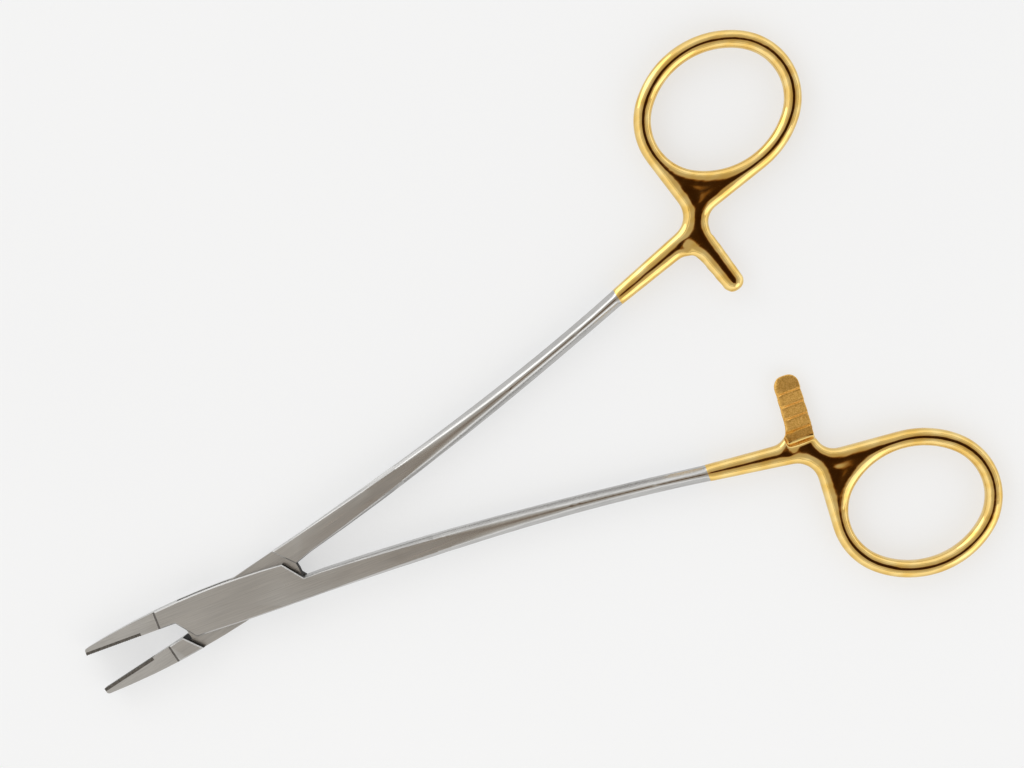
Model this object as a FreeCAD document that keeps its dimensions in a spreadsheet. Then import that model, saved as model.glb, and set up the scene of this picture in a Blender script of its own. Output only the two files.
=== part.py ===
import FreeCAD, Part
import math
import os
import types

import Sketcher

# Surgical needle holder, 18 cm, with a box lock, a ratchet and two finger rings. Millimetres.
# It lies on its side, as it rests on a tray. The pivot is over the origin, +X runs along the centre
# line of the closed instrument towards the rings, and +Z is the pivot axis. The underside of the box
# is at Z = 0. The box arm has its jaw on +Y and its ring on -Y. The tongue arm is its mirror image,
# threaded through the slot of the box, and is shown opened by the opening angle.

SIZES = [
    ("overall_length", 179.75, "jaw tip to the end of the box arm's ring"),
    ("opening_angle", 12.6, "angle between the two arms as shown, degrees"),
    ("box_thickness", 4.8, "thickness of the box, across both walls"),
    ("slot_width", 2.0, "height of the slot in the box, along the pivot"),
    ("slot_radius", 13.2, "radius of the slot ends, about the pivot"),
    ("tongue_side_play", 0.05, "play between the tongue and each wall"),
    ("tongue_end_play", 0.25, "play between the tongue ends and the slot ends"),
    ("tongue_neck", 1.3, "centre line to the edge of the tongue's neck behind the jaw"),
    ("pin_radius", 1.5, "radius of the pivot pin"),
    ("pin_play", 0.03, "running clearance round the pin in the tongue"),
    ("jaw_length", 33.5, "pivot to jaw tip"),
    ("jaw_tip_height", 1.35, "height of a jaw at its tip"),
    ("jaw_tip_rounding", 0.6, "rounding of the tip corner"),
    ("back_radius", 160.0, "radius of the long curve along the jaw back and the box"),
    ("back_height", 3.99, "height of that curve over the jaw shoulder"),
    ("box_end_height", 3.65, "height of that curve at the upper lock corner"),
    ("jaw_gap", 0.05, "half of the gap between the closed working faces"),
    ("jaw_step_at", 17.1, "pivot to the step where the jaw gets thinner"),
    ("jaw_step_depth", 0.45, "depth of that step in each side face"),
    ("jaw_step_runout", 0.8, "radius at the foot of the step"),
    ("jaw_tip_thickness", 2.5, "thickness of a jaw at its tip"),
    ("insert_thickness", 0.62, "thickness of a hard jaw insert"),
    ("insert_end", 21.5, "pivot to the rear end of an insert"),
    ("tooth_spacing", 0.4, "spacing of the fine grooves in an insert"),
    ("tooth_depth", 0.12, "depth of those grooves"),
    ("lock_jaw_at", 14.0, "pivot to the lock edge at the jaw crotch"),
    ("lock_shank_at", 13.1, "pivot to the lock edge at the shank crotch"),
    ("lock_slope", 0.8, "lean of the lock edges, along per across"),
    ("lock_end_height", 3.85, "depth of the lower lock corner"),
    ("shoulder_play", 0.12, "play between a lock edge and its shoulder, closed"),
    ("shoulder_slope", 0.62, "lean of the tongue shoulders, along per across"),
    ("sole_height", 4.45, "depth of the outer edge where the box meets the shank"),
    ("sole_curve_radius", 600.0, "radius of the outer edge under the box"),
    ("crotch_height", 0.1, "height of the shank crotch corner of the tongue arm"),
    ("crotch_play", 0.24, "play between that corner and the lock edge, along the arm"),
    ("edge_chamfer", 0.22, "chamfer on the long edges of box and jaws"),
    ("root_at", 17.0, "pivot to the root of the shank"),
    ("root_inner", 0.3, "centre line to the inner edge of the shank root"),
    ("root_width", 4.2, "width of the shank root"),
    ("fore_at", 40.0, "pivot to the fore section of the shank"),
    ("fore_offset", 3.4, "centre line to the middle of that section"),
    ("fore_width", 4.0, "width of that section"),
    ("fore_thickness", 4.1, "thickness of that section"),
    ("middle_at", 66.0, "pivot to the middle section of the shank"),
    ("middle_offset", 5.4, "centre line to the middle of that section"),
    ("middle_width", 3.45, "width of that section"),
    ("middle_thickness", 3.7, "thickness of that section"),
    ("shank_bevel", 1.2, "width of the bevels along the shank"),
    ("plating_at", 94.4, "pivot to the start of the plated handle"),
    ("handle_inner", 7.1, "centre line to the inner edge of the handle there"),
    ("handle_width", 3.4, "width of the handle there"),
    ("handle_thickness", 3.9, "thickness of handle and ring"),
    ("handle_rounding", 1.5, "rounding of all handle edges"),
    ("plating_step", 0.06, "how far the handle stands proud of the bare shank"),
    ("elbow_to_ring", 15.55, "outer elbow to the ring centre, along the instrument"),
    ("elbow_height", 13.45, "centre line to the outer elbow"),
    ("elbow_radius", 4.2, "radius of the outer elbow"),
    ("bar_to_ring", 16.2, "middle of the ratchet bar's root to the ring centre, along the instrument"),
    ("bar_root_half", 2.5, "half the width of the bar at its root"),
    ("box_arm_bar_tip_half", 2.5, "half the width of the box arm's bar at its tip"),
    ("tongue_arm_bar_tip_half", 2.1, "half the width of the tongue arm's bar at its tip"),
    ("bar_lean", 1.0, "lean of the bar towards the ring over its length"),
    ("bar_shank_height", 8.6, "centre line to the corner between bar and shank"),
    ("bar_shank_radius", 3.0, "radius of that corner"),
    ("bar_ring_height", 12.6, "centre line to the corner between bar and ring"),
    ("bar_ring_radius", 3.6, "radius of that corner"),
    ("bar_tip_rounding", 2.0, "rounding of the bar tip"),
    ("box_arm_bar_reach", 3.75, "reach of the box arm's bar past the centre line"),
    ("tongue_arm_bar_reach", 2.7, "reach of the tongue arm's bar past the centre line"),
    ("ratchet_first", 0.5, "centre line to the crest of the first ratchet tooth"),
    ("ratchet_pitch", 2.45, "spacing of the ratchet teeth"),
    ("ratchet_depth", 0.65, "depth of the ratchet teeth"),
    ("ratchet_play", 0.05, "gap from the middle plane to the tooth crests"),
    ("ratchet_ledge", 9.4, "centre line to the ledge at the foot of the teeth"),
    ("ring_offset", 28.15, "centre line to the ring centre"),
    ("ring_hole_length", 26.3, "length of the ring hole"),
    ("ring_hole_width", 21.7, "width of the ring hole"),
    ("ring_end_radius", 9.5, "radius of the two narrow ends of the ring hole"),
    ("ring_band", 3.4, "width of the ring's band"),
    ("cut_margin", 1.0, "how far a cutting outline runs past what it cuts"),
]

RATCHET_TEETH = 4


class Size:
    """A number together with the sheet expression that gives it."""

    def __init__(self, value, text):
        self.value = value
        self.text = text

    def __add__(self, other):
        other = as_size(other)
        return Size(self.value + other.value, f"({self.text} + {other.text})")

    def __sub__(self, other):
        other = as_size(other)
        return Size(self.value - other.value, f"({self.text} - {other.text})")

    def __mul__(self, other):
        other = as_size(other)
        return Size(self.value * other.value, f"({self.text} * {other.text})")

    def __truediv__(self, other):
        other = as_size(other)
        return Size(self.value / other.value, f"({self.text} / {other.text})")

    def __neg__(self):
        return Size(-self.value, f"(-1 * {self.text})")


def as_size(thing):
    if isinstance(thing, Size):
        return thing
    return Size(float(thing), repr(float(thing)))


def root_of(size):
    return Size(math.sqrt(size.value), f"sqrt({size.text})")


def on_circle(radius, y):
    """How far along X a circle about the pivot lies at the height y."""
    return root_of(radius * radius - y * y)


def diagonal(x, y):
    return root_of(x * x + y * y)


doc = FreeCAD.newDocument("needle_holder")
sheet = doc.addObject("Spreadsheet::Sheet", "Sizes")
size = types.SimpleNamespace()
for row, (alias, value, note) in enumerate(SIZES, start=1):
    sheet.set(f"A{row}", note)
    sheet.set(f"B{row}", str(value))
    sheet.setAlias(f"B{row}", alias)
    setattr(size, alias, Size(value, f"Sizes.{alias}"))
doc.recompute()

# Places worked out from the sizes, written for the box arm; the other arm mirrors them across X.
insert_seat = size.jaw_gap + size.insert_thickness
half_box = size.box_thickness / 2
half_handle = size.handle_thickness / 2
ring_at = size.overall_length - size.jaw_length - size.ring_hole_length / 2 - size.ring_band
elbow_at = ring_at - size.elbow_to_ring
bar_at = ring_at - size.bar_to_ring
tongue_radius = size.slot_radius - size.tongue_end_play
tongue_thickness = size.slot_width - size.tongue_side_play * 2
shoulder_jaw_at = size.lock_jaw_at + size.shoulder_play
root_outer = size.root_inner + size.root_width
shoulder_top = (-shoulder_jaw_at + size.shoulder_slope * size.back_height, size.back_height)
crotch = (size.lock_shank_at + size.crotch_play, size.crotch_height)
# The ring hole is an oval of four arcs: two narrow ends and two flatter flanks.
end_arc_offset = size.ring_hole_length / 2 - size.ring_end_radius
flank_rise = size.ring_hole_width / 2 - size.ring_end_radius
flank_arc_offset = (end_arc_offset * end_arc_offset - flank_rise * flank_rise) / (flank_rise * 2)
flank_hole_radius = size.ring_hole_width / 2 + flank_arc_offset
sole_end = (crotch[0] - size.shoulder_slope * (size.sole_height + size.crotch_height), -size.sole_height)


def new_body(name):
    body = doc.addObject("PartDesign::Body", name)
    body.Label = name
    return body


def origin_feature(body, role):
    """A plane or an axis of the body's own origin."""
    return [feature for feature in body.Origin.OriginFeatures if feature.Role == role][0]


def new_sketch(body, name, role, offset=None):
    """A sketch on one of the body's own origin planes, moved along its normal by the offset."""
    sketch = body.newObject("Sketcher::SketchObject", name)
    sketch.AttachmentSupport = [(origin_feature(body, role), "")]
    sketch.MapMode = "FlatFace"
    if offset is not None:
        sketch.AttachmentOffset = FreeCAD.Placement(FreeCAD.Vector(0, 0, offset.value), FreeCAD.Rotation())
        sketch.setExpression("AttachmentOffset.Base.z", offset.text)
    return sketch


def bind(sketch, constraint, size_text):
    index = sketch.addConstraint(constraint)
    sketch.setExpression(f"Constraints[{index}]", size_text)


def arc_between(start, end, radius, turn):
    """The arc of that radius from start to end; turn is 1 for counterclockwise, -1 for clockwise."""
    chord = end - start
    to_left = FreeCAD.Vector(-chord.y, chord.x, 0).normalize()
    rise = math.sqrt(radius ** 2 - chord.Length ** 2 / 4)
    centre = (start + end) * 0.5 + to_left * rise * turn
    first, last = (start, end) if turn > 0 else (end, start)
    angles = [math.atan2(point.y - centre.y, point.x - centre.x) for point in (first, last)]
    if angles[1] < angles[0]:
        angles[1] += 2 * math.pi
    return Part.ArcOfCircle(Part.Circle(centre, FreeCAD.Vector(0, 0, 1), radius), *angles)


def draw_outline(sketch, corners, side=1):
    """A closed outline through the corners, mirrored when side is -1.

    A corner is (x, y), or (x, y, radius, turn) when an arc leads from it to the next corner.
    """
    corners = [(corner[0], corner[1] * side) + tuple(corner[2:]) for corner in corners]
    points = [FreeCAD.Vector(corner[0].value, corner[1].value, 0) for corner in corners]
    ends = []
    for number, corner in enumerate(corners):
        start = points[number]
        end = points[(number + 1) % len(points)]
        if len(corner) == 2:
            piece = sketch.addGeometry(Part.LineSegment(start, end))
            ends.append((piece, 1, 2))
            continue
        turn = corner[3] * side
        piece = sketch.addGeometry(arc_between(start, end, corner[2].value, turn))
        ends.append((piece, 1, 2) if turn > 0 else (piece, 2, 1))
        bind(sketch, Sketcher.Constraint("Radius", piece, corner[2].value), corner[2].text)
    for number, (piece, first, last) in enumerate(ends):
        following = ends[(number + 1) % len(ends)]
        sketch.addConstraint(Sketcher.Constraint("Coincident", piece, last, following[0], following[1]))
        x, y = corners[number][:2]
        bind(sketch, Sketcher.Constraint("DistanceX", -1, 1, piece, first, x.value), x.text)
        bind(sketch, Sketcher.Constraint("DistanceY", -1, 1, piece, first, y.value), y.text)


def draw_circle(sketch, radius):
    circle = Part.Circle(FreeCAD.Vector(0, 0, 0), FreeCAD.Vector(0, 0, 1), radius.value)
    piece = sketch.addGeometry(circle)
    sketch.addConstraint(Sketcher.Constraint("Coincident", piece, 3, -1, 1))
    bind(sketch, Sketcher.Constraint("Radius", piece, radius.value), radius.text)


def draw_ring(sketch, outward, side):
    """An oval of four arcs about the ring centre, parallel to the ring hole and that far outside it."""
    along = end_arc_offset / diagonal(end_arc_offset, flank_arc_offset)
    across = flank_arc_offset / diagonal(end_arc_offset, flank_arc_offset)
    end_radius = size.ring_end_radius + outward
    flank_radius = flank_hole_radius + outward
    x = end_arc_offset + end_radius * along
    y = end_radius * across
    draw_outline(sketch, [
        (ring_at + x, -size.ring_offset - y, end_radius, 1),
        (ring_at + x, -size.ring_offset + y, flank_radius, 1),
        (ring_at - x, -size.ring_offset + y, end_radius, 1),
        (ring_at - x, -size.ring_offset - y, flank_radius, 1),
    ], side)


def add_pad(body, name, sketch, thickness):
    """Material to both sides of the sketch."""
    pad = body.newObject("PartDesign::Pad", name)
    pad.Profile = sketch
    pad.Midplane = True
    pad.Length = thickness.value
    pad.setExpression("Length", thickness.text)
    return pad


def add_pocket(body, name, sketch, depth):
    """A cut to both sides of the sketch."""
    pocket = body.newObject("PartDesign::Pocket", name)
    pocket.Profile = sketch
    pocket.Midplane = True
    pocket.Length = depth.value
    pocket.setExpression("Length", depth.text)
    return pocket


def edges_where(feature, test):
    """Names of the feature's edges whose ends and middle all pass the test."""
    names = []
    for number, edge in enumerate(feature.Shape.Edges, start=1):
        middle = edge.valueAt((edge.FirstParameter + edge.LastParameter) / 2)
        points = [vertex.Point for vertex in edge.Vertexes] + [middle]
        if all(test(point) for point in points):
            names.append(f"Edge{number}")
    return names


def upright_edges_at(feature, corner, side):
    """The edge along Z through a corner of the outline."""
    x, y = corner[0].value, corner[1].value * side
    return edges_where(feature, lambda point: math.hypot(point.x - x, point.y - y) < 0.01)


def add_fillet(body, name, feature, edges, radius):
    fillet = body.newObject("PartDesign::Fillet", name)
    fillet.Base = (feature, edges)
    fillet.Radius = radius.value
    fillet.setExpression("Radius", radius.text)
    doc.recompute()
    return fillet


def add_chamfer(body, name, feature, edges, width):
    chamfer = body.newObject("PartDesign::Chamfer", name)
    chamfer.Base = (feature, edges)
    chamfer.Size = width.value
    chamfer.setExpression("Size", width.text)
    doc.recompute()
    return chamfer


def jaw_back(side):
    """The jaw's outline from the seat of the insert over the tip to the long curve of the box."""
    return [
        (-size.jaw_length, insert_seat),
        (-size.jaw_length, size.jaw_tip_height, size.back_radius, -1),
    ]


def jaw_front():
    """The working side of the jaw, from behind the insert to the seat's rear end."""
    return [
        (-size.insert_end, size.jaw_gap),
        (-size.insert_end, insert_seat),
    ]


def round_the_tip(body, feature, side):
    doc.recompute()
    corner = (-size.jaw_length, size.jaw_tip_height)
    add_fillet(body, "jaw_tip", feature, upright_edges_at(feature, corner, side), size.jaw_tip_rounding)


def thin_the_jaw(body, name):
    """Both side faces of the jaw step back and taper to the tip; the step's foot is rounded."""
    sketch = new_sketch(body, name + "_sides", "XZ_Plane")
    lean = (half_box - size.jaw_step_depth - size.jaw_tip_thickness / 2) / (size.jaw_length - size.jaw_step_at)
    past_tip = size.jaw_length + size.cut_margin
    above = half_box + size.cut_margin
    foot = half_box - size.jaw_step_depth
    for face in (1, -1):
        draw_outline(sketch, [
            (-past_tip, above),
            (-size.jaw_step_at, above),
            (-size.jaw_step_at, foot + size.jaw_step_runout / 2, size.jaw_step_runout, -1),
            (-size.jaw_step_at - size.jaw_step_runout, foot - lean * size.jaw_step_runout),
            (-past_tip, foot - lean * (past_tip - size.jaw_step_at)),
        ], face)
    pocket = add_pocket(body, name, sketch, size.box_thickness * 4)
    doc.recompute()
    return pocket


def add_blade(body):
    """Jaw and box of the box arm in one outline, then the slot through the box."""
    upper_corner = (size.lock_shank_at - size.lock_slope * size.box_end_height, size.box_end_height)
    lower_corner = (-size.lock_jaw_at + size.lock_slope * size.lock_end_height, -size.lock_end_height)
    crotch_corner = (size.lock_shank_at + size.lock_slope * size.root_inner, -size.root_inner)
    outline = jaw_back(1) + [
        upper_corner,
        crotch_corner,
        (size.root_at, -size.root_inner),
        (size.root_at, -root_outer, size.sole_curve_radius, -1),
        lower_corner,
        (-size.lock_jaw_at - size.lock_slope * size.jaw_gap, size.jaw_gap),
    ] + jaw_front()
    sketch = new_sketch(body, "blade_outline", "XY_Plane")
    draw_outline(sketch, outline)
    blade = add_pad(body, "blade", sketch, size.box_thickness)
    round_the_tip(body, blade, 1)


def add_tongue(body):
    """Jaw and shank root of the tongue arm at full thickness, with the thin tongue between them."""
    inside_jaw = -shoulder_jaw_at - size.cut_margin
    inside_root = crotch[0] + size.cut_margin
    jaw = new_sketch(body, "jaw_outline", "XY_Plane")
    draw_outline(jaw, jaw_back(-1) + [
        shoulder_top,
        (-shoulder_jaw_at + size.shoulder_slope * size.jaw_gap, size.jaw_gap),
    ] + jaw_front(), -1)
    jaw_pad = add_pad(body, "jaw", jaw, size.box_thickness)
    round_the_tip(body, jaw_pad, -1)
    tongue = new_sketch(body, "tongue_outline", "XY_Plane")
    draw_outline(tongue, [
        shoulder_top + (size.back_radius, -1),
        (on_circle(tongue_radius, size.box_end_height), size.box_end_height, tongue_radius, -1),
        (on_circle(tongue_radius, size.crotch_height), size.crotch_height),
        crotch,
        (inside_root, -size.root_inner * 2),
        (inside_root, -size.lock_end_height),
        sole_end + (size.sole_curve_radius, -1),
        (-on_circle(tongue_radius, size.lock_end_height), -size.lock_end_height, tongue_radius, -1),
        (-on_circle(tongue_radius, size.tongue_neck), size.tongue_neck),
        (inside_jaw, size.tongue_neck),
        (inside_jaw, size.jaw_tip_height),
    ], -1)
    add_pad(body, "tongue", tongue, tongue_thickness)
    root = new_sketch(body, "root_outline", "XY_Plane")
    draw_outline(root, [
        crotch,
        (size.root_at, -size.root_inner),
        (size.root_at, -root_outer),
        sole_end,
    ], -1)
    add_pad(body, "root", root, size.box_thickness)
    doc.recompute()


def shank_section(body, name, at, offset, width, thickness, bevel, side):
    """One eight-sided section across the shank."""
    sketch = new_sketch(body, name, "YZ_Plane", at)
    half_width = width / 2
    half_thickness = thickness / 2
    inner = -offset + half_width
    outer = -offset - half_width
    draw_outline(sketch, [
        (outer * side, bevel - half_thickness),
        ((outer + bevel) * side, -half_thickness),
        ((inner - bevel) * side, -half_thickness),
        (inner * side, bevel - half_thickness),
        (inner * side, half_thickness - bevel),
        ((inner - bevel) * side, half_thickness),
        ((outer + bevel) * side, half_thickness),
        (outer * side, half_thickness - bevel),
    ])
    return sketch


def add_shank(body, side):
    """The shank: a loft from the box to the plated handle, its bevels widening from the root on."""
    bare = size.plating_step * 2
    sections = [
        shank_section(body, "shank_root", size.root_at, size.root_inner + size.root_width / 2,
                      size.root_width, size.box_thickness, size.edge_chamfer, side),
        shank_section(body, "shank_fore", size.fore_at, size.fore_offset,
                      size.fore_width, size.fore_thickness, (size.edge_chamfer + size.shank_bevel) / 2, side),
        shank_section(body, "shank_middle", size.middle_at, size.middle_offset,
                      size.middle_width, size.middle_thickness, size.shank_bevel, side),
        shank_section(body, "shank_aft", size.plating_at, size.handle_inner + size.handle_width / 2,
                      size.handle_width - bare, size.handle_thickness - bare, size.shank_bevel, side),
    ]
    shank = body.newObject("PartDesign::AdditiveLoft", "shank")
    shank.Profile = sections[0]
    shank.Sections = sections[1:]
    shank.Ruled = False
    doc.recompute()


def tangent_point(corner, centre, radius, branch):
    """Where a line from the corner touches the circle; branch picks one of the two places."""
    u = (corner[0] - centre[0]) / radius
    v = (corner[1] - centre[1]) / radius
    square = u * u + v * v
    reach = root_of(square - 1) * branch
    return (centre[0] + radius * (u - v * reach) / square, centre[1] + radius * (v + u * reach) / square)


def add_handle(body, side, bar_reach, bar_tip_half):
    """The plated handle: the end of the shank, the ratchet bar and the finger ring, well rounded."""
    elbow = (elbow_at, -size.elbow_height)
    ring_corner = (bar_at + size.bar_root_half, -size.bar_ring_height)
    shank_corner = (bar_at - size.bar_root_half, -size.bar_shank_height)
    near_end = (ring_at - end_arc_offset, -size.ring_offset)
    flank = (ring_at, -size.ring_offset - flank_arc_offset)
    bar_tip = bar_at + size.bar_lean
    tip_corners = [(bar_tip + bar_tip_half, bar_reach), (bar_tip - bar_tip_half, bar_reach)]
    web = new_sketch(body, "handle_outline", "XY_Plane")
    draw_outline(web, [
        (size.plating_at, -size.handle_inner - size.handle_width),
        elbow,
        tangent_point(elbow, near_end, size.ring_end_radius + size.ring_band, 1),
        (ring_at, -size.ring_offset),
        tangent_point(ring_corner, flank, flank_hole_radius + size.ring_band, -1),
        ring_corner,
    ] + tip_corners + [
        shank_corner,
        (size.plating_at, -size.handle_inner),
    ], side)
    add_pad(body, "handle", web, size.handle_thickness)
    ring = new_sketch(body, "ring_outline", "XY_Plane")
    draw_ring(ring, size.ring_band, side)
    feature = add_pad(body, "ring", ring, size.handle_thickness)
    doc.recompute()
    for name, corner, radius in (
        ("elbow_blend", elbow, size.elbow_radius),
        ("bar_ring_blend", ring_corner, size.bar_ring_radius),
        ("bar_shank_blend", shank_corner, size.bar_shank_radius),
        ("bar_tip_left", tip_corners[0], size.bar_tip_rounding),
        ("bar_tip_right", tip_corners[1], size.bar_tip_rounding),
    ):
        feature = add_fillet(body, name, feature, upright_edges_at(feature, corner, side), radius)
    hole = new_sketch(body, "ring_hole_outline", "XY_Plane")
    draw_ring(hole, as_size(0), side)
    feature = add_pocket(body, "ring_hole", hole, size.handle_thickness * 2)
    doc.recompute()

    rims = edges_where(feature, lambda point: abs(abs(point.z) - half_handle.value) < 0.001)
    starts = edges_where(feature, lambda point: point.x < size.plating_at.value + 0.001)
    rims = [name for name in rims if name not in starts]
    return add_fillet(body, "handle_rounding", feature, rims, size.handle_rounding)


def cut_ratchet(body, side, face):
    """Half of the bar's thickness is cut away in saw teeth; face is the side they look to."""
    crest = -size.ratchet_play * face
    floor = crest - size.ratchet_depth * face
    above = size.handle_thickness * face
    past_tip = size.box_arm_bar_reach + size.cut_margin
    profile = [(-size.ratchet_ledge, above), (-size.ratchet_ledge, floor)]
    for tooth in range(RATCHET_TEETH - 1, -1, -1):
        at = size.ratchet_first - size.ratchet_pitch * tooth
        profile += [(at, floor), (at, crest)]
    profile += [(past_tip, crest - size.ratchet_depth * face / 2), (past_tip, above)]
    sketch = new_sketch(body, "ratchet_profile", "YZ_Plane", bar_at + size.bar_lean / 2)
    draw_outline(sketch, [(y * side, z) for y, z in profile])
    add_pocket(body, "ratchet", sketch, size.bar_root_half * 2 + size.bar_lean * 2)
    doc.recompute()


def bore(body, name, radius):
    sketch = new_sketch(body, name + "_outline", "XY_Plane")
    draw_circle(sketch, radius)
    add_pocket(body, name, sketch, size.box_thickness * 2)
    doc.recompute()


def break_long_edges(body):
    """Chamfers along the edges of the box, the rear of the jaw and the shank root."""

    def long_edge(point):
        on_face = abs(abs(point.z) - half_box.value) < 0.001
        return on_face and -size.jaw_step_at.value - 0.001 < point.x < size.root_at.value + 0.001

    feature = body.Tip
    edges = []
    for name in edges_where(feature, long_edge):
        ends = [vertex.Point for vertex in feature.Shape.getElement(name).Vertexes]
        if abs(ends[-1].x - ends[0].x) > size.edge_chamfer.value:
            edges.append(name)
    return add_chamfer(body, "long_edges", feature, edges, size.edge_chamfer)


def make_box_arm():
    """The arm with the slotted box; its ratchet bar is the rear half, toothed towards +Z."""
    body = new_body("box_arm")
    add_blade(body)
    thin_the_jaw(body, "jaw_sides")
    break_long_edges(body)
    slot = new_sketch(body, "slot_outline", "XY_Plane")
    draw_circle(slot, size.slot_radius)
    add_pocket(body, "slot", slot, size.slot_width)
    bore(body, "pin_hole", size.pin_radius)
    add_shank(body, 1)
    add_handle(body, 1, size.box_arm_bar_reach, size.box_arm_bar_tip_half)
    cut_ratchet(body, 1, 1)
    return body


def make_tongue_arm():
    """The arm that passes through the box; its ratchet bar is the front half, toothed towards -Z."""
    body = new_body("tongue_arm")
    add_tongue(body)
    thin_the_jaw(body, "jaw_sides")
    break_long_edges(body)
    bore(body, "pin_bore", size.pin_radius + size.pin_play)
    add_shank(body, -1)
    add_handle(body, -1, size.tongue_arm_bar_reach, size.tongue_arm_bar_tip_half)
    cut_ratchet(body, -1, -1)
    return body


def make_pin():
    body = new_body("pivot_pin")
    sketch = new_sketch(body, "pin_outline", "XY_Plane")
    draw_circle(sketch, size.pin_radius)
    add_pad(body, "pin", sketch, size.box_thickness)
    return body


def cut_grooves(body, side):
    """Fine V grooves across the working face, at even spacing from the tip to the rear end."""
    first = size.jaw_length - size.tooth_spacing
    half_groove = size.tooth_spacing * 0.4
    sketch = new_sketch(body, "groove_outline", "XY_Plane")
    draw_outline(sketch, [
        (-first - half_groove, size.jaw_gap),
        (-first, size.jaw_gap + size.tooth_depth),
        (-first + half_groove, size.jaw_gap),
    ], side)
    groove = add_pocket(body, "groove", sketch, size.box_thickness * 2)
    run = first - size.insert_end - size.tooth_spacing
    steps = run / size.tooth_spacing
    row = body.newObject("PartDesign::LinearPattern", "grooves")
    row.Originals = [groove]
    row.Direction = (origin_feature(body, "X_Axis"), [""])
    row.setExpression("Length", run.text)
    row.setExpression("Occurrences", f"round({steps.text}) + 1")
    body.Tip = row
    doc.recompute()


def make_insert(name, side):
    """A hard strip brazed into the seat of a jaw, with fine grooves across its working face."""
    body = new_body(name)
    sketch = new_sketch(body, "insert_outline", "XY_Plane")
    draw_outline(sketch, [
        (-size.jaw_length, size.jaw_gap),
        (-size.jaw_length, insert_seat),
        (-size.insert_end, insert_seat),
        (-size.insert_end, size.jaw_gap),
    ], side)
    add_pad(body, "insert", sketch, size.box_thickness)
    thin_the_jaw(body, "insert_sides")
    cut_grooves(body, side)
    return body


box_arm = make_box_arm()
tongue_arm = make_tongue_arm()
pivot_pin = make_pin()
upper_jaw_insert = make_insert("upper_jaw_insert", 1)
lower_jaw_insert = make_insert("lower_jaw_insert", -1)
bodies = [box_arm, tongue_arm, pivot_pin, upper_jaw_insert, lower_jaw_insert]

# The middle plane of every piece is lifted so that the underside of the box lies at Z = 0, and the
# tongue arm turns about the pivot with the insert in its jaw.
for body in bodies:
    body.setExpression("Placement.Base.z", half_box.text)
for body in (tongue_arm, lower_jaw_insert):
    body.Placement.Rotation = FreeCAD.Rotation(FreeCAD.Vector(0, 0, 1), size.opening_angle.value)
    body.setExpression("Placement.Rotation.Angle", size.opening_angle.text)
doc.recompute()

for item in doc.Objects:
    if "Invalid" in item.State or "Error" in item.State:
        raise RuntimeError(f"{item.Name} did not build: {item.State}")
os.makedirs("parts", exist_ok=True)
for body in bodies:
    shape = body.Shape
    if shape.isNull() or not shape.isValid() or len(shape.Solids) != 1:
        raise RuntimeError(f"{body.Label} is not one sound solid")
    shape.exportStep(f"parts/{body.Label}.step")
    box = shape.BoundBox
    print(f"{body.Label}: {shape.Volume:.1f} mm3, X {box.XMin:.2f} to {box.XMax:.2f}, "
          f"Y {box.YMin:.2f} to {box.YMax:.2f}, Z {box.ZMin:.2f} to {box.ZMax:.2f}")
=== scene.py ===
# %% [markdown]
# # Surgical needle holder
# This lesson dresses a needle holder: satin steel jaws and shanks, hard dark inserts in the jaws, and
# finger rings with polished gold plating. The solids come from the construction model, in metres, and
# every piece here is made from them, so that it fits its place and moves with its arm.

# %% Load the solids
import math

import bmesh
import bpy
from mathutils import Matrix, Vector
from mathutils.kdtree import KDTree


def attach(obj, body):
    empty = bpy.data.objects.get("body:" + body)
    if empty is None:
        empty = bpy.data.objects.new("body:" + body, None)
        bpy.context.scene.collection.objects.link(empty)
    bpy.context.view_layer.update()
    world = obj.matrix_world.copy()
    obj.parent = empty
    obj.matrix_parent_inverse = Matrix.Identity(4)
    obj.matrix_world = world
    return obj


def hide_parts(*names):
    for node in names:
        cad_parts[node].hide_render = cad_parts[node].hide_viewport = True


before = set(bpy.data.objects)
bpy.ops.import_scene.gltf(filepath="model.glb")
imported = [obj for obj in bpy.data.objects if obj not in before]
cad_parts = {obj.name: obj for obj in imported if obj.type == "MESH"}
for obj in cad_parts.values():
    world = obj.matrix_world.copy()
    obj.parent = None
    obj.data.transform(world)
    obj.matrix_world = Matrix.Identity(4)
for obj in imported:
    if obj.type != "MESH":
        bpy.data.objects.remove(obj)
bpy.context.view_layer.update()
MM = 0.001
print("nodes:", sorted(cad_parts))

# %% [markdown]
# Two arms are crossed at the pivot, which stands over the origin. The box arm lies along X. The tongue
# arm has the same shape mirrored, and is turned by the opening angle. A cut or a pattern that follows
# an arm needs that turn taken out again. Places along an arm are measured from the pivot: the steel end
# becomes the rebuilt shank at 40 mm, and the gold plating starts at 94.4 mm.

# %% Angles and places that several pieces share
OPENING = math.radians(12.6)
ARM_TURN = {"box_arm": 0.0, "tongue_arm": OPENING}
TURN_BACK = {node: Matrix.Rotation(-turn, 3, "Z") for node, turn in ARM_TURN.items()}
MIRROR = {"box_arm": 1, "tongue_arm": -1}
SHANK_AT = 40.0 * MM
PLATING_AT = 94.4 * MM
MID_HEIGHT_MM = 2.4


def straighten(node, place):
    """A place or direction on that arm as if the arm lay along X."""
    return TURN_BACK[node] @ place


print("opening angle:", round(math.degrees(OPENING), 1), "degrees")

# %% [markdown]
# A material is a small network. One function adds a node, sets its values and links its inputs, so each
# recipe below reads from top to bottom. Colours are written as sRGB hex, as a paint chart gives them,
# and turned linear here, because light adds up only in linear values.

# %% Helpers for materials


def linear(hex_colour):
    """An sRGB hex colour as linear RGBA."""
    channels = [int(hex_colour[i:i + 2], 16) / 255 for i in (1, 3, 5)]
    return [c / 12.92 if c <= 0.04045 else ((c + 0.055) / 1.055) ** 2.4 for c in channels] + [1.0]


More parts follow.
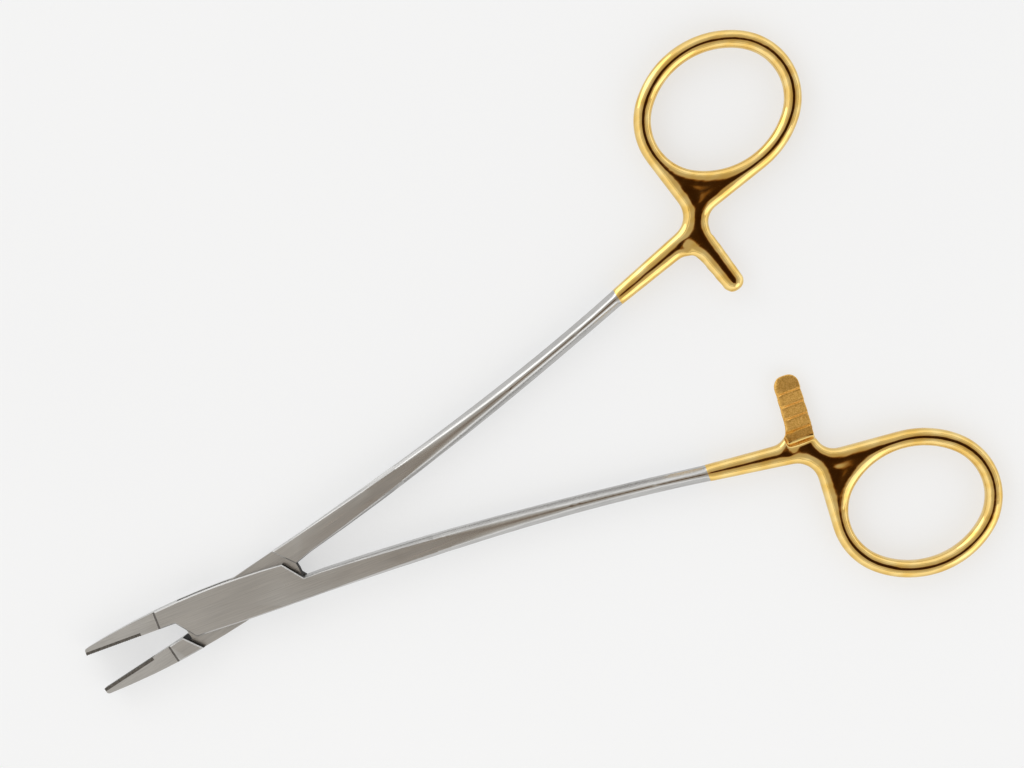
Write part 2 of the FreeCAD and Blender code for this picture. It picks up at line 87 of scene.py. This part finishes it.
def add_node(tree, kind, settings=None, links=None):
    """Adds a node. Settings are its options or its inputs' values, and links are what feeds its inputs."""
    node = tree.nodes.new(kind)
    for name, value in (settings or {}).items():
        if isinstance(name, str) and hasattr(node, name):
            setattr(node, name, value)
        else:
            node.inputs[name].default_value = value
    for name, source in (links or {}).items():
        tree.links.new(source, node.inputs[name])
    return node


def ramp(tree, source, stops):
    """A colour ramp over the source, with stops of position and colour or grey."""
    node = add_node(tree, "ShaderNodeValToRGB", links={"Fac": source})
    elements = node.color_ramp.elements
    while len(elements) < len(stops):
        elements.new(0.5)
    for element, (position, value) in zip(elements, stops):
        element.position = position
        element.color = linear(value) if isinstance(value, str) else (value, value, value, 1.0)
    return node.outputs["Color"]


def new_material(name):
    """A material with an empty network, and that network."""
    material = bpy.data.materials.new(name)
    material.use_nodes = True
    material.node_tree.nodes.clear()
    return material, material.node_tree


def finish_material(tree, shader):
    add_node(tree, "ShaderNodeOutputMaterial", links={"Surface": shader})


def along_the_arm(tree, turn, length_mm, width_mm):
    """Coordinates for marks of that length along the arm and that width across it."""
    place = add_node(tree, "ShaderNodeTexCoord")
    straight = add_node(tree, "ShaderNodeVectorRotate", {"rotation_type": "Z_AXIS", "Angle": -turn},
                        {"Vector": place.outputs["Object"]})
    scale = (1 / (length_mm * MM), 1 / (width_mm * MM), 1 / (width_mm * MM))
    marks = add_node(tree, "ShaderNodeVectorMath", {"operation": "MULTIPLY", 1: scale},
                     {0: straight.outputs["Vector"]})
    return marks.outputs["Vector"]


print("middle grey #808080 is", round(linear("#808080")[0], 3), "in linear light")

# %% [markdown]
# ## Satin stainless steel
# The jaws, the box and the shanks are forged stainless steel. Their flat sides are ground lengthwise on
# a belt, which leaves fine parallel scratches, and then dulled, so that they don't glare in theatre
# light. The scratches could be a picture laid over the arm, but a noise drawn out along it needs no
# unwrapping and shows no seam. Scratches 0.05 mm apart are too fine for this picture, so they are drawn
# 0.2 mm apart. They drive the roughness and a slight bump, and a larger noise gives the soft clouding.
# The shanks are ground finer than the box, so between 30 and 70 mm from the pivot the roughness halves.

# %% Material: satin stainless steel
STEEL_ROUGHNESS = 0.34
SCRATCH_CONTRAST = 0.07


def satin_steel(name, turn):
    material, tree = new_material(name)
    scratches = along_the_arm(tree, turn, length_mm=9.0, width_mm=0.2)
    lines = add_node(tree, "ShaderNodeTexNoise", {"Scale": 1.0, "Detail": 4.0, "Roughness": 0.6},
                     {"Vector": scratches})
    patches = along_the_arm(tree, turn, length_mm=14.0, width_mm=3.0)
    clouds = add_node(tree, "ShaderNodeTexNoise", {"Scale": 1.0, "Detail": 2.0, "Roughness": 0.5},
                      {"Vector": patches})
    both = add_node(tree, "ShaderNodeMix", {"data_type": "FLOAT", "Factor": 0.35},
                    {"A": lines.outputs["Fac"], "B": clouds.outputs["Fac"]})
    colour = ramp(tree, both.outputs["Result"], [(0.3, "#ACABA9"), (0.7, "#CBCAC8")])
    scratched = ramp(tree, lines.outputs["Fac"],
                     [(0.3, STEEL_ROUGHNESS + SCRATCH_CONTRAST), (0.7, STEEL_ROUGHNESS - SCRATCH_CONTRAST)])
    place = add_node(tree, "ShaderNodeTexCoord")
    reach = add_node(tree, "ShaderNodeVectorMath", {"operation": "LENGTH"},
                     {0: place.outputs["Object"]})
    finer = add_node(tree, "ShaderNodeMapRange",
                     {"From Min": 30 * MM, "From Max": 70 * MM, "To Min": 1.0, "To Max": 0.5},
                     {"Value": reach.outputs["Value"]})
    roughness = add_node(tree, "ShaderNodeMath", {"operation": "MULTIPLY"},
                         {0: scratched, 1: finer.outputs["Result"]}).outputs["Value"]
    bump = add_node(tree, "ShaderNodeBump", {"Strength": 0.15, "Distance": 0.02 * MM},
                    {"Height": lines.outputs["Fac"]})
    shader = add_node(tree, "ShaderNodeBsdfPrincipled", {"Metallic": 1.0},
                      {"Base Color": colour, "Roughness": roughness, "Normal": bump.outputs["Normal"]})
    finish_material(tree, shader.outputs["BSDF"])
    return material


steel_finish = {arm: satin_steel(f"satin_stainless_steel_{arm}", turn) for arm, turn in ARM_TURN.items()}
print("steel:", [material.name for material in steel_finish.values()])

# %% [markdown]
# The slot and the lock edges are milled and never ground, and their steel is rougher. It is also much
# darker: that is painted shade, for the shade in the narrow gaps between the arms. Shadow alone would
# leave them too pale, because bare metal mirrors the white table. The hollow at the jaw's step is milled
# too, and gets a painted shade only half as dark. Both carry milling marks about 0.5 mm wide.

# %% Material: painted shade on milled steel in the lock


def painted_shade_steel(name, colour_dark, colour_light):
    material, tree = new_material(name)
    place = add_node(tree, "ShaderNodeTexCoord")
    marks = add_node(tree, "ShaderNodeTexNoise",
                     {"Scale": 1 / (0.5 * MM), "Detail": 3.0, "Roughness": 0.6},
                     {"Vector": place.outputs["Object"]})
    colour = ramp(tree, marks.outputs["Fac"], [(0.3, colour_dark), (0.7, colour_light)])
    shader = add_node(tree, "ShaderNodeBsdfPrincipled", {"Metallic": 1.0, "Roughness": 0.6},
                      {"Base Color": colour})
    finish_material(tree, shader.outputs["BSDF"])
    return material


# Painted shade: dark steel on the slot walls and lock edges stands in for the shade in the gaps.
lock_painted_shade = painted_shade_steel("lock_painted_shade_steel", "#2C2A28", "#4A4744")
# Lighter painted shade for the hollow at the jaw's step.
step_painted_shade = painted_shade_steel("step_painted_shade_steel", "#5E5B57", "#7C7873")
print("recesses:", lock_painted_shade.name, step_painted_shade.name)

# %% [markdown]
# ## Gold plating
# The rings and the backs of the ratchet bars are polished to a mirror and then plated with gold, which
# marks a holder with hard jaw inserts. A mirror shows its surroundings: what the eye reads as gold are
# pale and dark brown streaks along the rounded bands. So no streak is painted here. The material is a
# plain smooth metal, and the streaks come from the shape and the light. Two things keep it from looking
# computed, faint polishing lines and a slow waviness left by hand work on the wheel.

# %% Material: polished gold plating


def gold_plating(name, turn):
    material, tree = new_material(name)
    polishing_lines = along_the_arm(tree, turn, length_mm=3.0, width_mm=0.3)
    lines = add_node(tree, "ShaderNodeTexNoise", {"Scale": 1.0, "Detail": 3.0, "Roughness": 0.6},
                     {"Vector": polishing_lines})
    hand_work = along_the_arm(tree, turn, length_mm=4.0, width_mm=2.0)
    waves = add_node(tree, "ShaderNodeTexNoise", {"Scale": 1.0, "Detail": 1.0, "Roughness": 0.4},
                     {"Vector": hand_work})
    roughness = ramp(tree, lines.outputs["Fac"], [(0.35, 0.10), (0.7, 0.05)])
    colour = ramp(tree, waves.outputs["Fac"], [(0.3, "#E1B964"), (0.7, "#ECCF89")])
    bump = add_node(tree, "ShaderNodeBump", {"Strength": 0.4, "Distance": 0.15 * MM},
                    {"Height": waves.outputs["Fac"]})
    shader = add_node(tree, "ShaderNodeBsdfPrincipled", {"Metallic": 1.0},
                      {"Base Color": colour, "Roughness": roughness, "Normal": bump.outputs["Normal"]})
    finish_material(tree, shader.outputs["BSDF"])
    return material


gold_finish = {arm: gold_plating(f"polished_gold_plating_{arm}", turn) for arm, turn in ARM_TURN.items()}
print("gold:", [material.name for material in gold_finish.values()])

# %% [markdown]
# The teeth of the ratchet are milled, and the plating over them is left as it comes from the bath,
# without polishing. A fine grain, about 0.3 mm, scatters the light, so the toothed face looks like
# brass sand beside the mirror of the ring. The same gold with more roughness alone would look waxy,
# because every spot of it would be equally bright.

# %% Material: matt gold of the milled teeth


def matt_gold(name):
    material, tree = new_material(name)
    place = add_node(tree, "ShaderNodeTexCoord")
    grain = add_node(tree, "ShaderNodeTexNoise",
                     {"Scale": 1 / (0.3 * MM), "Detail": 4.0, "Roughness": 0.7},
                     {"Vector": place.outputs["Object"]})
    colour = ramp(tree, grain.outputs["Fac"], [(0.3, "#BD8A3A"), (0.7, "#F9CC76")])
    bump = add_node(tree, "ShaderNodeBump", {"Strength": 0.6, "Distance": 0.06 * MM},
                    {"Height": grain.outputs["Fac"]})
    shader = add_node(tree, "ShaderNodeBsdfPrincipled", {"Metallic": 1.0, "Roughness": 0.42},
                      {"Base Color": colour, "Normal": bump.outputs["Normal"]})
    finish_material(tree, shader.outputs["BSDF"])
    return material


ratchet_finish = matt_gold("milled_gold_plating")
print("ratchet:", ratchet_finish.name)

# %% [markdown]
# ## Tungsten carbide
# The inserts that grip the needle are sintered tungsten carbide, much harder and darker than steel.
# Their working faces have fine grooves, which are in the solids, and even their sides look grainy. The
# true grain is far too fine to show, so it is drawn 0.35 mm wide, in colour, roughness and bump at once.

# %% Material: tungsten carbide


def carbide(name, turn):
    material, tree = new_material(name)
    grain = add_node(tree, "ShaderNodeTexNoise", {"Scale": 1.0, "Detail": 5.0, "Roughness": 0.7},
                     {"Vector": along_the_arm(tree, turn, length_mm=0.35, width_mm=0.35)})
    colour = ramp(tree, grain.outputs["Fac"], [(0.3, "#4E4B47"), (0.7, "#7B7771")])
    roughness = ramp(tree, grain.outputs["Fac"], [(0.3, 0.6), (0.7, 0.4)])
    bump = add_node(tree, "ShaderNodeBump", {"Strength": 0.5, "Distance": 0.04 * MM},
                    {"Height": grain.outputs["Fac"]})
    shader = add_node(tree, "ShaderNodeBsdfPrincipled", {"Metallic": 1.0},
                      {"Base Color": colour, "Roughness": roughness, "Normal": bump.outputs["Normal"]})
    finish_material(tree, shader.outputs["BSDF"])
    return material


carbide_finish = {
    "upper_jaw_insert": carbide("tungsten_carbide_upper", 0.0),
    "lower_jaw_insert": carbide("tungsten_carbide_lower", OPENING),
}
print("carbide:", [material.name for material in carbide_finish.values()])

# %% [markdown]
# ## Splitting an arm
# Each arm is one forging, but its two ends want different meshes. The box and the jaw have crisp ground
# edges and stay as the solid gives them. The shank gets rounder towards the ring, and the ring has no
# sharp edge anywhere, so their mesh is rebuilt in small even faces and smoothed. One mesh for the whole
# arm would either dull the jaw or leave the ring faceted, so a copy of the solid is cut across the shank
# for each of the two.

# %% Cut an arm across
SAME_PLACE = 0.002 * MM
ON_THE_CUT = 0.001 * MM


def cut_across(mesh, node, at, keep_ring=None):
    """Cuts the mesh across the arm and keeps the ring's side (True), the jaw's (False) or both (None)."""
    turn = Matrix.Rotation(ARM_TURN[node], 4, "Z")
    everything = list(mesh.verts) + list(mesh.edges) + list(mesh.faces)
    bmesh.ops.bisect_plane(mesh, geom=everything, plane_co=turn @ Vector((at, 0, 0)),
                           plane_no=turn @ Vector((-1 if keep_ring else 1, 0, 0)),
                           clear_outer=keep_ring is not None, dist=ON_THE_CUT)


def close_ends(mesh):
    open_edges = [edge for edge in mesh.edges if edge.is_boundary]
    bmesh.ops.holes_fill(mesh, edges=open_edges, sides=0)
    bmesh.ops.triangulate(mesh, faces=[face for face in mesh.faces if len(face.verts) > 4])
    bmesh.ops.recalc_face_normals(mesh, faces=mesh.faces)


def arm_end(node, name, at, keep_ring):
    """A copy of the arm's mesh on one side of a cut, closed there."""
    mesh = bmesh.new()
    mesh.from_mesh(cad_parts[node].data)
    bmesh.ops.remove_doubles(mesh, verts=mesh.verts, dist=SAME_PLACE)
    cut_across(mesh, node, at, keep_ring)
    close_ends(mesh)
    data = bpy.data.meshes.new(name)
    mesh.to_mesh(data)
    mesh.free()
    piece = bpy.data.objects.new(name, data)
    bpy.context.scene.collection.objects.link(piece)
    return piece


def apply_modifiers(piece):
    """Turns the piece's modifiers into plain mesh."""
    bpy.context.view_layer.update()
    graph = bpy.context.evaluated_depsgraph_get()
    data = bpy.data.meshes.new_from_object(piece.evaluated_get(graph))
    piece.modifiers.clear()
    piece.data = data


def give_finishes(piece, finishes, kind_of):
    """Gives the piece its finishes, and each face the one whose number kind_of returns."""
    piece.data.materials.clear()
    for finish in finishes:
        piece.data.materials.append(finish)
    for face in piece.data.polygons:
        face.material_index = kind_of(face)


print("both arms are cut", round(SHANK_AT / MM, 1), "mm from the pivot")

# %% [markdown]
# ## Steel ends
# A ground edge is never perfectly sharp. A narrow bevel on every edge over 25 degrees catches a thin
# line of light, and that makes the jaws and the box look ground. It is 0.05 mm wide on the box and
# 0.12 mm on the shank. The back of the jaw is rounded off, so that it doesn't catch on tissue, and gets
# 0.2 mm. One width for all would make the box look cast. The pin is ground flush with the box, so its
# hole gets no bevel, or a ring would show that the real one lacks.

# %% Weigh the ground edges of an arm
BEVEL_FROM = math.radians(25)
BEVEL_WIDTH = 0.2 * MM
SHANK_SHARE = 0.6
BOX_SHARE = 0.25
SHANK_ROOT = 17.0 * MM
PIN_HOLE = 2.0 * MM
STEP = (-18.0 * MM, -16.8 * MM)
JAW_BACK_FROM = 0.9 * MM


def bevel_share(node, edge):
    """How much of the widest bevel an edge gets."""
    middle = straighten(node, (edge.verts[0].co + edge.verts[1].co) / 2)
    at_the_pin = math.hypot(middle.x, middle.y) < PIN_HOLE
    at_the_cut = middle.x > SHANK_AT - MM / 2
    if len(edge.link_faces) != 2 or at_the_pin or at_the_cut or edge.calc_face_angle() < BEVEL_FROM:
        return 0.0
    if middle.x < STEP[0] and middle.y * MIRROR[node] > JAW_BACK_FROM:
        return 1.0
    return SHANK_SHARE if middle.x > SHANK_ROOT else BOX_SHARE


def weigh_ground_edges(piece, node):
    mesh = bmesh.new()
    mesh.from_mesh(piece.data)
    weights = mesh.edges.layers.float.new("bevel_weight_edge")
    for edge in mesh.edges:
        edge[weights] = bevel_share(node, edge)
    mesh.to_mesh(piece.data)
    mesh.free()


print("bevels, mm:", [round(BEVEL_WIDTH * share / MM, 2) for share in (BOX_SHARE, SHANK_SHARE, 1.0)])

# %% [markdown]
# The belt can't reach the walls of the slot, the lock edges and the hollow at the jaw's step. They are
# found by where they stand and which way they face, and get the dark steel of painted shade. The bevels
# come last, so that each takes the finish of the face beside it.

# %% Make the steel ends of both arms
LOCK_REACH = 14.2 * MM
SHARP_FROM = math.radians(20)
WALL_TILT = 0.1
OUTER_SIDE = 0.9
HOLLOW_TILT = 0.2


def steel_kind(node, face):
    """0 on ground steel, 1 on the slot's walls and the lock edges, with painted shade, 2 in the hollow at
    the step, with lighter painted shade.
    """
    place, facing = straighten(node, face.center), straighten(node, face.normal)
    if abs(facing.z) < WALL_TILT:
        in_the_lock = math.hypot(place.x, place.y) < LOCK_REACH
        return 1 if in_the_lock and abs(facing.y) < OUTER_SIDE else 0
    return 2 if STEP[0] < place.x < STEP[1] and abs(facing.x) > HOLLOW_TILT else 0


def steel_end(node, body):
    piece = arm_end(node, f"{node}_steel_end", SHANK_AT, keep_ring=False)
    # The second and third finishes are painted shade, for the lock and for the hollow at the step.
    give_finishes(piece, (steel_finish[node], lock_painted_shade, step_painted_shade),
                  lambda face: steel_kind(node, face))
    piece.data.shade_smooth()
    piece.data.set_sharp_from_angle(angle=SHARP_FROM)
    weigh_ground_edges(piece, node)
    edges = piece.modifiers.new("ground_edges", "BEVEL")
    edges.width = BEVEL_WIDTH
    edges.segments = 2
    edges.limit_method = "WEIGHT"
    edges.harden_normals = True
    apply_modifiers(piece)
    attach(piece, body)
    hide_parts(node)
    return piece


steel_ends = [steel_end("box_arm", "box_side"), steel_end("tongue_arm", "tongue_side")]
print("steel ends:", [(piece.name, len(piece.data.polygons)) for piece in steel_ends])

# %% [markdown]
# ## Shanks and plated handles
# Beside each ring stands a short bar, and one side of it has milled teeth that hook into those of the
# other arm's bar. The box arm's teeth look up and the tongue arm's look down. All round them the metal
# is polished, but the teeth stay crisp and matt, so the script has to know where they are. All values
# are in mm, on the straightened arm, and heights are counted from the middle of its thickness.

# %% Find the milled teeth
TEETH_ALONG = (110.3, 117.6)
TEETH_ACROSS = (-8.8, 4.5)
TEETH_HEIGHT = (-1.0, 0.3)
TEETH_UP = {"box_arm": 1, "tongue_arm": -1}
BAR_REACH = 10.5
UPRIGHT = 0.35
TOOTH_WALL = 0.6


def is_toothed(node, place, strip=0.0, facing=None):
    """True on the milled face of the bar, but for a strip of that width along its inner side."""
    straight = straighten(node, place) / MM
    height = (straight.z - MID_HEIGHT_MM) * TEETH_UP[node]
    on_the_teeth = (TEETH_ALONG[0] + strip < straight.x < TEETH_ALONG[1]
                    and TEETH_ACROSS[0] < straight.y * MIRROR[node] < TEETH_ACROSS[1]
                    and TEETH_HEIGHT[0] <= height <= TEETH_HEIGHT[1])
    return on_the_teeth and (facing is None or facing.z * TEETH_UP[node] > UPRIGHT)


def is_tooth_wall(node, place, facing):
    """True on the walls across the bar: the teeth's and the ledge's, which isn't part of the outline."""
    straight = straighten(node, place) / MM
    on_the_bar = TEETH_ALONG[0] < straight.x < TEETH_ALONG[1] and abs(straight.y) < BAR_REACH
    on_the_cut_side = (straight.z - MID_HEIGHT_MM) * TEETH_UP[node] > TEETH_HEIGHT[0]
    return on_the_bar and on_the_cut_side and abs(straighten(node, facing).y) > TOOTH_WALL


print("teeth from", TEETH_ALONG[0], "to", TEETH_ALONG[1], "mm along each arm")

# %% [markdown]
# No side is quite flat after polishing. The bands and the bars are crowned, because the wheel rolls off
# over their edges, and the web between shank and ring is dished, because it sinks in there. Sculpting
# that by hand would be uneven, so the height follows from the distance to the outline, which is the
# same all round a ring. It fades in along the shank, from the crisp steel end to 60 mm.

# %% Crown the bands and dish the webs
ROUND_FROM = 60.0 * MM
CROWN_WIDTH = 2.5 * MM
CROWN_DEPTH = 0.5 * MM
DISH_FROM = 2.3 * MM
DISH_WIDTH = 1.8 * MM
DISH_DEPTH = 0.16 * MM


def eased(value):
    """0 below 0, 1 above 1 and a smooth rise between."""
    share = min(max(value, 0.0), 1.0)
    return share * share * (3 - 2 * share)


def roundness(node, place):
    """0 at the steel end and 1 where the shank is fully rounded."""
    return eased((straighten(node, place).x - SHANK_AT) / (ROUND_FROM - SHANK_AT))


def outline_of(node, places, facings):
    """The places on the upright sides, flattened."""
    rim = []
    for place, facing in zip(places, facings):
        if abs(facing.z) < UPRIGHT and not is_tooth_wall(node, place, facing):
            rim.append((place.x, place.y, 0.0))
    outline = KDTree(len(rim))
    for index, place in enumerate(rim):
        outline.insert(place, index)
    outline.balance()
    return outline


def shape_the_flats(piece, node):
    """Crowns the flat sides near the outline and dishes them where it is far away."""
    mesh = piece.data
    places = [vertex.co.copy() for vertex in mesh.vertices]
    facings = [vertex.normal.copy() for vertex in mesh.vertices]
    outline = outline_of(node, places, facings)
    for place, facing in zip(places, facings):
        upward = abs(facing.z)
        if upward < UPRIGHT or is_toothed(node, place):
            continue
        distance = outline.find((place.x, place.y, 0.0))[2]
        crown = CROWN_DEPTH * max(1 - distance / CROWN_WIDTH, 0.0) ** 2 * upward * upward
        dish = DISH_DEPTH * eased((distance - DISH_FROM) / DISH_WIDTH)
        place.z -= math.copysign((crown + dish) * roundness(node, place), facing.z)
    mesh.vertices.foreach_set("co", [value for place in places for value in place])
    mesh.update()


print("crown", round(CROWN_DEPTH / MM, 2), "mm, dish", round(DISH_DEPTH / MM, 2), "mm deep at most")

# %% [markdown]
# The solid's long thin triangles can't bend, so the mesh is first rebuilt in even faces of 0.17 mm.
# Smoothing then works as the polishing wheel does, and rounds ridges and hollows into each other. A
# weight on each vertex says how much: nothing at the steel end, almost nothing on the teeth, and all of
# it on the ring. The handle starts 2 mm too long, and is cut to length after that, so its end is clean.
# The last cut is at the plating line, where gold and steel meet in a line across the rounded shank.

# %% Make the shanks and handles of both arms
FACE_SIZE = 0.17 * MM
SPARE_LENGTH = 2 * MM
TEETH_POLISH = 0.08
BLENDED_STRIP_MM = 2.6
POLISH_STRENGTH = 0.5
POLISH_ROUNDS = 60


def polish_weight(node, place):
    return TEETH_POLISH if is_toothed(node, place, strip=BLENDED_STRIP_MM) else roundness(node, place)


def polish(piece, node):
    polished = piece.vertex_groups.new(name="polished")
    for vertex in piece.data.vertices:
        polished.add([vertex.index], polish_weight(node, vertex.co), "REPLACE")
    wheel = piece.modifiers.new("polishing", "SMOOTH")
    wheel.factor = POLISH_STRENGTH
    wheel.iterations = POLISH_ROUNDS
    wheel.vertex_group = "polished"
    apply_modifiers(piece)


def trim_the_handle(piece, node):
    """Cuts off the spare length at the steel end and marks the plating line with a cut."""
    mesh = bmesh.new()
    mesh.from_mesh(piece.data)
    cut_across(mesh, node, SHANK_AT, keep_ring=True)
    cut_across(mesh, node, PLATING_AT)
    mesh.to_mesh(piece.data)
    mesh.free()


def handle_kind(node, face):
    """0 on polished gold, 1 on the milled teeth, 2 on steel."""
    if straighten(node, face.center).x <= PLATING_AT:
        return 2
    return 1 if is_toothed(node, face.center, facing=face.normal) else 0


def handle(node, body):
    piece = arm_end(node, f"{node}_shank_and_ring", SHANK_AT - SPARE_LENGTH, keep_ring=True)
    even = piece.modifiers.new("even_faces", "REMESH")
    even.mode = "VOXEL"
    even.voxel_size = FACE_SIZE
    apply_modifiers(piece)
    shape_the_flats(piece, node)
    polish(piece, node)
    trim_the_handle(piece, node)
    give_finishes(piece, (gold_finish[node], ratchet_finish, steel_finish[node]),
                  lambda face: handle_kind(node, face))
    piece.data.shade_smooth()
    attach(piece, body)
    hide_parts(node)
    return piece


handles = [handle("box_arm", "box_side"), handle("tongue_arm", "tongue_side")]
print("handles:", [(piece.name, len(piece.data.polygons)) for piece in handles])

# %% [markdown]
# ## Pin and inserts
# The pivot pin is ground flush with the box, and the two inserts are brazed into the jaws. Their solids
# have the right shape, with the grooves of the inserts, so they only get their finish.

# %% Finish the pin and the inserts


def dress(node, material):
    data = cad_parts[node].data
    data.materials.clear()
    data.materials.append(material)


dress("pivot_pin", steel_finish["box_arm"])
for insert, material in carbide_finish.items():
    dress(insert, material)
print("dressed:", ["pivot_pin"] + list(carbide_finish))

# %% [markdown]
# ## Table
# The holder lies on a plain white table top. It is matt, so that it takes the soft shadow and throws
# light back on the undersides of the rings. More light would bleach the steel before the table got
# white, so 0.6 of what the camera and the mirrors see of it is an even white, as if the table were lit
# from below. That also keeps the shadow faint.

# %% Make the table top
TABLE_HALF = 3.0
TABLE_DROP = 0.02 * MM
EVEN_SHARE = 0.6


def white_table_material():
    material, tree = new_material("white_table_top")
    place = add_node(tree, "ShaderNodeTexCoord")
    cloud = add_node(tree, "ShaderNodeTexNoise", {"Scale": 4.0, "Detail": 2.0},
                     {"Vector": place.outputs["Object"]})
    colour = ramp(tree, cloud.outputs["Fac"], [(0.3, "#F6F7F8"), (0.7, "#F9FAFB")])
    matt = add_node(tree, "ShaderNodeBsdfDiffuse", links={"Color": colour})
    even = add_node(tree, "ShaderNodeEmission", {"Strength": 1.02}, {"Color": colour})
    rays = add_node(tree, "ShaderNodeLightPath")
    seen = add_node(tree, "ShaderNodeMath", {"operation": "MAXIMUM"},
                    {0: rays.outputs["Is Camera Ray"], 1: rays.outputs["Is Glossy Ray"]})
    share = add_node(tree, "ShaderNodeMath", {"operation": "MULTIPLY", 1: EVEN_SHARE},
                     {0: seen.outputs["Value"]})
    surface = add_node(tree, "ShaderNodeMixShader", links={0: share.outputs["Value"],
                                                           1: matt.outputs["BSDF"],
                                                           2: even.outputs["Emission"]})
    finish_material(tree, surface.outputs["Shader"])
    return material


def table_top():
    material = white_table_material()
    mesh = bpy.data.meshes.new("table_top")
    corners = [(x * TABLE_HALF, y * TABLE_HALF, 0) for x, y in ((-1, -1), (1, -1), (1, 1), (-1, 1))]
    mesh.from_pydata(corners, [], [(0, 1, 2, 3)])
    mesh.materials.append(material)
    table = bpy.data.objects.new("table_top", mesh)
    table.location.z = -TABLE_DROP
    bpy.context.scene.collection.objects.link(table)
    return table


print("table:", table_top().name)

# %% [markdown]
# ## Light
# Polished metal is lit by what it reflects. This is a light tent: white walls all round and a dark
# opening overhead, where the camera stands, which gives the gold its brown streaks. The opening is a
# little to one side and its edge is uneven, so the streaks wander along the rings. A seam in the cloth
# draws a second, thinner streak. Lamps alone would leave the gold black with a few bright spots. The
# stops of the tent go from its walls, at 0, to the middle of the opening, at 1.

# %% Make the light tent
OPENING_TOWARDS = (0.22, -0.04, 0.97)
TENT = [(0.0, "#E6E6E6"), (0.55, "#FFFFFF"), (0.63, "#9A9388"), (0.66, "#F0EFED"), (0.76, "#BBB8B2"),
        (0.935, "#B3ABA0"), (0.952, "#7A5428"), (0.968, "#3A2410"), (1.0, "#2C1A0A")]
TENT_STRENGTH = 1.3
FOLD_SHIFT = 0.15


def light_tent():
    world = bpy.data.worlds.new("light_tent")
    bpy.context.scene.world = world
    world.use_nodes = True
    tree = world.node_tree
    tree.nodes.clear()
    place = add_node(tree, "ShaderNodeTexCoord")
    folds = add_node(tree, "ShaderNodeTexNoise", {"Scale": 4.0, "Detail": 3.0},
                     {"Vector": place.outputs["Generated"]})
    shift = add_node(tree, "ShaderNodeVectorMath",
                     {"operation": "MULTIPLY_ADD", 1: (2 * FOLD_SHIFT,) * 3, 2: (-FOLD_SHIFT,) * 3},
                     {0: folds.outputs["Color"]})
    look = add_node(tree, "ShaderNodeVectorMath", {"operation": "ADD"},
                    {0: place.outputs["Generated"], 1: shift.outputs["Vector"]})
    unit = add_node(tree, "ShaderNodeVectorMath", {"operation": "NORMALIZE"},
                    {0: look.outputs["Vector"]})
    overhead = tuple(Vector(OPENING_TOWARDS).normalized())
    nearness = add_node(tree, "ShaderNodeVectorMath", {"operation": "DOT_PRODUCT", 1: overhead},
                        {0: unit.outputs["Vector"]})
    tent = ramp(tree, nearness.outputs["Value"], TENT)
    rays = add_node(tree, "ShaderNodeLightPath")
    seen = add_node(tree, "ShaderNodeMix", {"data_type": "RGBA", "B": linear("#DADADA")},
                    {"Factor": rays.outputs["Is Camera Ray"], "A": tent})
    shader = add_node(tree, "ShaderNodeBackground", {"Strength": TENT_STRENGTH},
                      {"Color": seen.outputs["Result"]})
    add_node(tree, "ShaderNodeOutputWorld", links={"Surface": shader.outputs["Background"]})
    return world


print("world:", light_tent().name)

# %% [markdown]
# A tent alone lights everything evenly, and the holder would seem to float. Two large soft lamps, each
# 0.8 m wide and about a metre away, add a direction and a faint shadow. Places are in metres and power
# in watts.

# %% Place the soft lamps
LAMP_SIZE = 0.8
LAMPS = {"main_lamp": ((-0.5, 0.95, 0.45), 1.8), "fill_lamp": ((0.6, -0.8, 0.6), 1.2)}
LIT_PLACE = Vector((0.06, 0.0, 0.0))


def soft_lamp(name, place, power):
    data = bpy.data.lights.new(name, "AREA")
    data.shape = "DISK"
    data.size = LAMP_SIZE
    data.energy = power
    lamp = bpy.data.objects.new(name, data)
    lamp.location = place
    lamp.rotation_euler = (LIT_PLACE - Vector(place)).to_track_quat("-Z", "Y").to_euler()
    bpy.context.scene.collection.objects.link(lamp)
    return lamp


lamps = [soft_lamp(name, place, power) for name, (place, power) in LAMPS.items()]
print("lamps:", [lamp.name for lamp in lamps])

# %% [markdown]
# ## Camera
# The picture is taken from almost straight above, from 0.37 m away, leaning a few degrees, so that the
# upper sides of the box show. The box arm's centre line rises by about 21 degrees across the picture.
# The distance is the focal length in pixels times the size of a pixel on the table. The camera could be
# aimed by eye, but these values were fitted to the instrument, so each edge falls where it should.

# %% Place the camera
PICTURE_WIDTH = 1024
FOCAL_PIXELS = 1900.0
MM_PER_PIXEL = 0.19385
LEAN_ACROSS = math.tan(math.radians(-4.0))
LEAN_ALONG = math.tan(math.radians(-5.0))
PICTURE_TURN = math.radians(20.67)
AIM_PIXELS = Vector((276.51, 218.42))


def place_camera():
    up = Vector((LEAN_ACROSS, LEAN_ALONG, 1.0)).normalized()
    across = Vector((1.0, 0.0, -LEAN_ACROSS)).normalized()
    along = up.cross(across)
    cosine, sine = math.cos(PICTURE_TURN), math.sin(PICTURE_TURN)
    attitude = Matrix((cosine * across + sine * along, -sine * across + cosine * along, up))
    aim = AIM_PIXELS * MM_PER_PIXEL * MM
    aim_point = Vector((aim.x * cosine + aim.y * sine, -aim.x * sine + aim.y * cosine, MID_HEIGHT_MM * MM))
    data = bpy.data.cameras.new("camera")
    data.sensor_width = 36.0
    data.lens = data.sensor_width * FOCAL_PIXELS / PICTURE_WIDTH
    data.clip_start = 0.01
    data.clip_end = 20.0
    camera = bpy.data.objects.new("camera", data)
    camera.matrix_world = Matrix.Translation(
        aim_point + attitude.col[2] * FOCAL_PIXELS * MM_PER_PIXEL * MM) @ attitude.to_4x4()
    bpy.context.scene.collection.objects.link(camera)
    bpy.context.scene.camera = camera
    return camera


camera = place_camera()
bpy.context.scene.view_settings.view_transform = "Standard"
print("camera at", [round(v, 4) for v in camera.location], "lens", round(camera.data.lens, 2))
